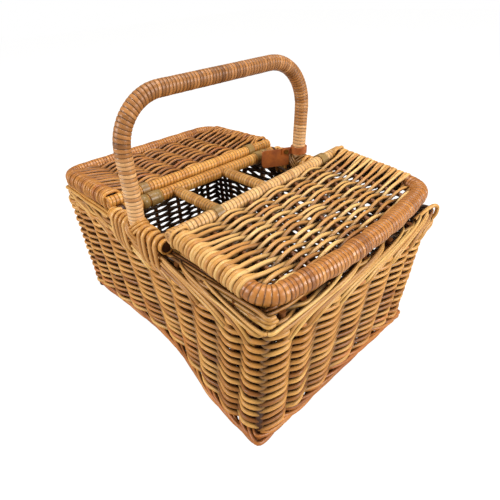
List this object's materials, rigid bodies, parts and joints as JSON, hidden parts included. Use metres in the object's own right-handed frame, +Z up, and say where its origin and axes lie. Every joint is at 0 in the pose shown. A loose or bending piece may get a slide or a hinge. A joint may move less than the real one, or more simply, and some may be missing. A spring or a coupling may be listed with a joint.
{
  "type": "picnic hamper",
  "caption": "Wicker picnic hamper with a fixed hoop handle, hinged lids at both ends and bottle cells between them.",
  "frame": {"origin": "middle of the footprint, on the floor under the knob feet", "axes": "+X along the hamper to the right lid, +Y across it to the back rail, +Z up"},
  "size_m": [0.496, 0.3576, 0.396],
  "materials": {
    "willow": "varnished split willow",
    "stick": "round willow stick",
    "peg": "turned wooden peg",
    "core": "round wooden rod with cut ends",
    "cane": "close wrap of glossy cane",
    "handle_cane": "close wrap of glossy cane",
    "pale_cane": "smooth flat cane",
    "strap_cane": "flat olive cane",
    "edge_cane": "close wrap of dark glossy cane",
    "lid_willow": "varnished willow rods",
    "leather": "saddle leather",
    "stud": "dull stud"
  },
  "bodies": {
    "basket": {"base_weave": "willow", "foot_border": "willow", "weave_front": "willow", "weave_back": "willow", "weave_left": "willow", "weave_right": "willow", "rim_border_front": "willow", "rim_border_back": "willow", "rim_border_left": "willow", "rim_border_right": "willow", "base_sticks": "stick", "stakes_front": "stick", "stakes_back": "stick", "stakes_left": "stick", "stakes_right": "stick", "corner_feet": "peg", "rail_front": "core", "rail_back": "core", "handle_core": "core", "divider_bar_left": "core", "divider_bar_right": "core", "cross_bar_front": "core", "cross_bar_back": "core", "rail_wrap_front": "cane", "rail_wrap_back": "cane", "divider_wrap_left": "cane", "divider_wrap_right": "cane", "cross_wrap_front": "cane", "cross_wrap_back": "cane", "handle_wrap": "handle_cane", "rail_loops_front": "pale_cane", "rail_loops_back": "pale_cane", "handle_lashing_front": "pale_cane", "handle_lashing_back": "pale_cane", "hinge_loop_left_front": "strap_cane", "hinge_loop_left_back": "strap_cane", "hinge_loop_right_front": "strap_cane", "hinge_loop_right_back": "strap_cane"},
    "lid_left": {"hinge_bar_left": "core", "hinge_wrap_left": "cane", "lid_frame_left": "stick", "lid_edge_wrap_left": "edge_cane", "lid_stakes_left": "stick", "lid_weave_left": "lid_willow"},
    "lid_right": {"hinge_bar_right": "core", "hinge_wrap_right": "cane", "lid_frame_right": "stick", "lid_edge_wrap_right": "edge_cane", "lid_stakes_right": "stick", "lid_weave_right": "lid_willow"},
    "tag": {"tag_plate": "leather", "tag_strap": "leather", "tag_stud": "stud"}
  },
  "joints": [
    {"name": "lid_left_hinge", "type": "hinge", "parent": "basket", "child": "lid_left", "pos_m": [-0.076, 0, 0.229], "axis": [0, 1, 0], "range_deg": [0, 110]},
    {"name": "lid_right_hinge", "type": "hinge", "parent": "basket", "child": "lid_right", "pos_m": [0.0775, 0, 0.2415], "axis": [0, -0.9989, -0.0462], "range_deg": [0, 110]},
    {"name": "tag_swivel", "type": "hinge", "parent": "basket", "child": "tag", "pos_m": [0, 0.164, 0.2367], "axis": [0, 0, 1], "range_deg": [0, 60]}
  ]
}
